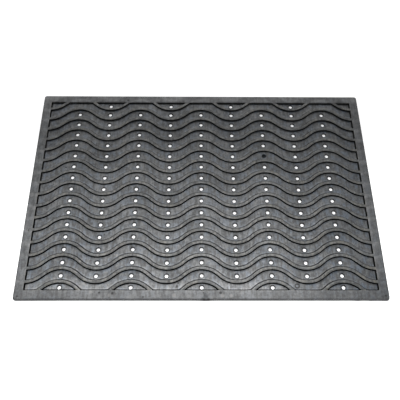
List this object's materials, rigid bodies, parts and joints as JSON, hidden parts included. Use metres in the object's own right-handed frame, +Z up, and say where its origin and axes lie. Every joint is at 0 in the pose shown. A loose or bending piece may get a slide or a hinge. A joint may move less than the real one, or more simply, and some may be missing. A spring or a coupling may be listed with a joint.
{
  "type": "doormat",
  "caption": "Thin rectangular black rubber doormat with a plain border, wavy raised ribs along its length and small drain holes in the channels.",
  "frame": {"origin": "middle of the underside, on the floor that the mat lies on", "axes": "+X along the long side, +Y along the short side towards the far edge in the picture, +Z up out of the ribbed face"},
  "size_m": [0.6, 0.4, 0.005],
  "materials": {
    "black_rubber": "matt moulded black rubber with a faint grey bloom and a fine grain"
  },
  "bodies": {
    "root": {"rubber_mat": "black_rubber"}
  },
  "joints": []
}
